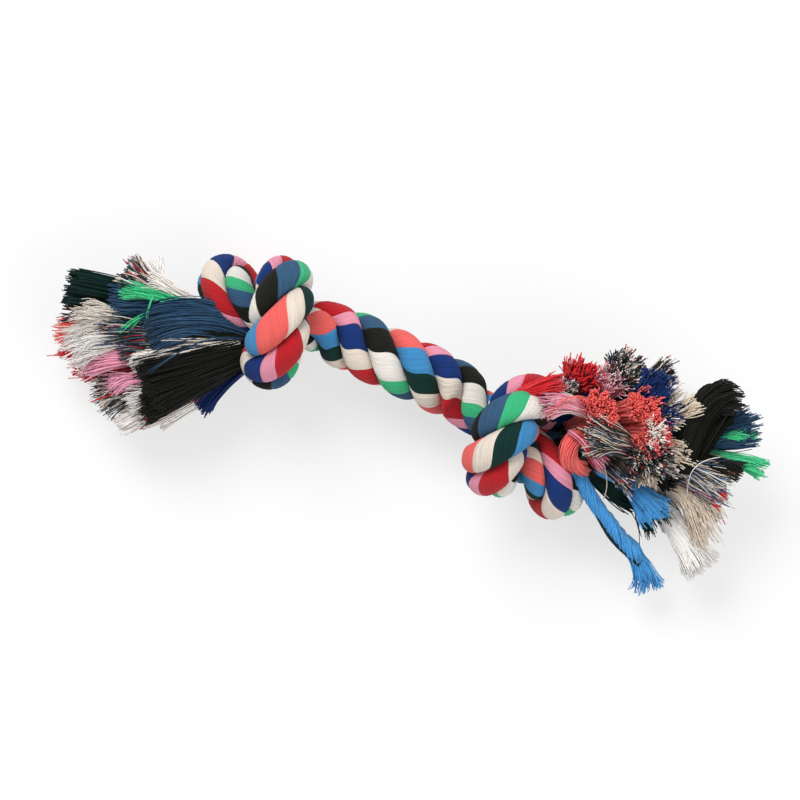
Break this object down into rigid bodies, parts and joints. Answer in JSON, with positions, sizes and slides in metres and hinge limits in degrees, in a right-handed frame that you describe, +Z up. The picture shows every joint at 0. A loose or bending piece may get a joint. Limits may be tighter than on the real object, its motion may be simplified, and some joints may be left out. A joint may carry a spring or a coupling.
{
  "type": "rope dog toy",
  "caption": "Tug toy of twisted multicoloured cotton rope with an overhand knot near each end and frayed tassels, lying flat.",
  "frame": {"origin": "middle of the whole toy's box, on the floor that it lies on", "axes": "+X along the toy from its left tassel to its right one, +Z up, +Y away from a viewer who has the left tassel on the left"},
  "size_m": [0.253, 0.0862, 0.0606],
  "materials": {
    "yarn_beige": "loose cut cotton yarn, matt",
    "yarn_black": "loose cut cotton yarn, matt",
    "yarn_coral": "loose cut cotton yarn, matt",
    "yarn_cream": "loose cut cotton yarn, matt",
    "yarn_denim": "loose cut cotton yarn, matt",
    "yarn_forest": "loose cut cotton yarn, matt",
    "yarn_green": "loose cut cotton yarn, matt",
    "yarn_mixed": "loose cut cotton yarn, matt",
    "yarn_pink": "loose cut cotton yarn, matt",
    "yarn_red": "loose cut cotton yarn, matt",
    "yarn_royal": "loose cut cotton yarn, matt",
    "yarn_sky": "loose cut cotton yarn, matt",
    "yarn_white": "loose cut cotton yarn, matt",
    "strand_a": "cotton strand of cream, coral, light blue and dark green yarn",
    "strand_b": "cotton strand of red, pink, royal blue and cream yarn",
    "strand_c": "cotton strand of green, denim blue, black and white yarn"
  },
  "bodies": {
    "root": {"left_tuft_beige": "yarn_beige", "left_tuft_black": "yarn_black", "left_tuft_coral": "yarn_coral", "left_tuft_cream": "yarn_cream", "left_tuft_denim": "yarn_denim", "left_tuft_forest": "yarn_forest", "left_tuft_green": "yarn_green", "left_tuft_mixed_1": "yarn_mixed", "left_tuft_mixed_2": "yarn_mixed", "left_tuft_mixed_3": "yarn_mixed", "left_tuft_pink": "yarn_pink", "left_tuft_red": "yarn_red", "left_tuft_royal": "yarn_royal", "left_tuft_sky": "yarn_sky", "left_tuft_white": "yarn_white", "right_tuft_beige": "yarn_beige", "right_tuft_black": "yarn_black", "right_tuft_coral": "yarn_coral", "right_tuft_cream": "yarn_cream", "right_tuft_denim": "yarn_denim", "right_tuft_forest": "yarn_forest", "right_tuft_green": "yarn_green", "right_tuft_mixed_1": "yarn_mixed", "right_tuft_mixed_2": "yarn_mixed", "right_tuft_mixed_3": "yarn_mixed", "right_tuft_pink": "yarn_pink", "right_tuft_red": "yarn_red", "right_tuft_royal": "yarn_royal", "right_tuft_sky": "yarn_sky", "right_tuft_white": "yarn_white", "strand_a": "strand_a", "strand_b": "strand_b", "strand_c": "strand_c"}
  },
  "joints": []
}
